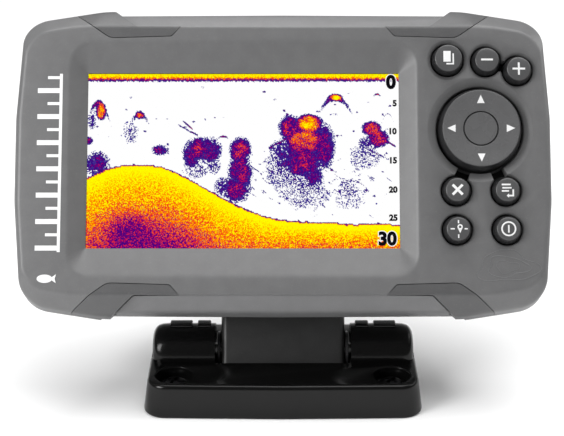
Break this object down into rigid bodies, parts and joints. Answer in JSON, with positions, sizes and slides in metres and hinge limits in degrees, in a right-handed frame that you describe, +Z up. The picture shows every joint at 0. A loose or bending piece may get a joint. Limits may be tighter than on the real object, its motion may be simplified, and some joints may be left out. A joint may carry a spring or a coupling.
{
  "type": "fish finder",
  "caption": "Compact sonar fish finder: colour screen, round keys and a four-way pad in a grey case, on a tilting quick-release bracket.",
  "frame": {"origin": "on the bracket's underside, midway between its sides and 32.9 mm behind its front edge", "axes": "+X to the right of a user facing the screen, +Y away from the user, +Z up from the mounting surface"},
  "size_m": [0.164, 0.074, 0.113],
  "materials": {
    "bracket_plastic": "satin black moulded plastic",
    "arm_plastic": "fine-textured black moulded plastic",
    "button_plastic": "ribbed grey plastic",
    "bezel_plastic": "satin mid-grey moulded plastic",
    "housing_plastic": "satin grey moulded plastic",
    "clip_plastic": "darker grey moulded trim",
    "key_plastic": "dark grey key caps with white printed symbols",
    "screen_glass": "clear hard-coated window",
    "display": "lit colour display with a sonar picture",
    "silicone": "soft black silicone",
    "circuit_board": "green solder mask",
    "screw_steel": "stainless steel",
    "spring_steel": "stainless spring wire",
    "tinned_steel": "tin-plated sheet steel",
    "gold_contact": "gold-plated brass",
    "ceramic": "ceramic patch",
    "acetal": "natural acetal",
    "flex_film": "amber flexible circuit",
    "socket_plastic": "black glass-filled plastic"
  },
  "bodies": {
    "bracket": {"bracket_base": "bracket_plastic", "base_screw_1": "screw_steel", "base_screw_2": "screw_steel", "base_screw_3": "screw_steel", "base_screw_4": "screw_steel", "pivot_pin": "screw_steel", "friction_washer_left": "acetal", "friction_washer_right": "acetal", "pivot_cap_left": "silicone", "pivot_cap_right": "silicone"},
    "tilt_arm": {"tilt_arm": "arm_plastic", "release_spring": "spring_steel"},
    "release_button": {"release_button": "button_plastic"},
    "display_unit": {"front_bezel": "bezel_plastic", "rear_housing": "housing_plastic", "housing_seal": "silicone", "screen_window": "screen_glass", "lcd_panel": "display", "backlight_tray": "tinned_steel", "lcd_ribbon": "flex_film", "keypad_mat": "silicone", "key_board": "circuit_board", "main_board": "circuit_board", "board_screw_1": "screw_steel", "board_screw_2": "screw_steel", "board_screw_3": "screw_steel", "board_screw_4": "screw_steel", "gps_antenna": "ceramic", "sonar_shield_can": "tinned_steel", "processor_can": "tinned_steel", "buzzer": "socket_plastic", "socket_shell": "socket_plastic", "socket_insert": "acetal", "socket_seal": "silicone", "socket_nut": "socket_plastic", "socket_pin_1": "gold_contact", "socket_pin_2": "gold_contact", "socket_pin_3": "gold_contact", "socket_pin_4": "gold_contact", "socket_pin_5": "gold_contact", "vent_plug": "socket_plastic", "case_screw_1": "screw_steel", "case_screw_2": "screw_steel", "case_screw_3": "screw_steel", "case_screw_4": "screw_steel", "clip_top_left": "clip_plastic", "clip_top_right": "clip_plastic", "clip_bottom_left": "clip_plastic", "clip_bottom_right": "clip_plastic"},
    "page_key": {"page_key": "key_plastic"},
    "zoom_out_key": {"zoom_out_key": "key_plastic"},
    "zoom_in_key": {"zoom_in_key": "key_plastic"},
    "exit_key": {"exit_key": "key_plastic"},
    "menu_key": {"menu_key": "key_plastic"},
    "waypoint_key": {"waypoint_key": "key_plastic"},
    "power_key": {"power_key": "key_plastic"},
    "pad_pivot": {"pad_gimbal": "acetal"},
    "direction_pad": {"direction_pad": "key_plastic"}
  },
  "joints": [
    {"name": "tilt", "type": "hinge", "parent": "bracket", "child": "tilt_arm", "pos_m": [0, -0.00695, 0.0105], "axis": [-1, 0, 0], "range_deg": [-24, 20]},
    {"name": "unit_lift_off", "type": "slide", "parent": "tilt_arm", "child": "display_unit", "axis": [0, 0.4879, 0.8729], "range_m": [0, 0.055]},
    {"name": "release_press", "type": "slide", "parent": "tilt_arm", "child": "release_button", "axis": [0, -0.8729, 0.4879], "range_m": [0, 0.002], "stiffness_N_per_m": 1500, "springref_m": -0.001, "deforming": ["release_spring"]},
    {"name": "page_key_press", "type": "slide", "parent": "display_unit", "child": "page_key", "axis": [0, 0.8729, -0.4879], "range_m": [0, 0.0007], "stiffness_N_per_m": 600, "springref_m": -0.0005},
    {"name": "zoom_out_key_press", "type": "slide", "parent": "display_unit", "child": "zoom_out_key", "axis": [0, 0.8729, -0.4879], "range_m": [0, 0.0007], "stiffness_N_per_m": 600, "springref_m": -0.0005},
    {"name": "zoom_in_key_press", "type": "slide", "parent": "display_unit", "child": "zoom_in_key", "axis": [0, 0.8729, -0.4879], "range_m": [0, 0.0007], "stiffness_N_per_m": 600, "springref_m": -0.0005},
    {"name": "exit_key_press", "type": "slide", "parent": "display_unit", "child": "exit_key", "axis": [0, 0.8729, -0.4879], "range_m": [0, 0.0007], "stiffness_N_per_m": 600, "springref_m": -0.0005},
    {"name": "menu_key_press", "type": "slide", "parent": "display_unit", "child": "menu_key", "axis": [0, 0.8729, -0.4879], "range_m": [0, 0.0007], "stiffness_N_per_m": 600, "springref_m": -0.0005},
    {"name": "waypoint_key_press", "type": "slide", "parent": "display_unit", "child": "waypoint_key", "axis": [0, 0.8729, -0.4879], "range_m": [0, 0.0007], "stiffness_N_per_m": 600, "springref_m": -0.0005},
    {"name": "power_key_press", "type": "slide", "parent": "display_unit", "child": "power_key", "axis": [0, 0.8729, -0.4879], "range_m": [0, 0.0007], "stiffness_N_per_m": 600, "springref_m": -0.0005},
    {"name": "pad_rock_up_down", "type": "hinge", "parent": "display_unit", "child": "pad_pivot", "pos_m": [0.0596, 0.00391, 0.07912], "axis": [1, 0, 0], "range_deg": [-2.5, 2.5], "stiffness_Nm_per_rad": 0.3},
    {"name": "pad_rock_left_right", "type": "hinge", "parent": "pad_pivot", "child": "direction_pad", "pos_m": [0.0596, 0.00391, 0.07912], "axis": [0, 0.4879, 0.8729], "range_deg": [-2.5, 2.5], "stiffness_Nm_per_rad": 0.3}
  ]
}
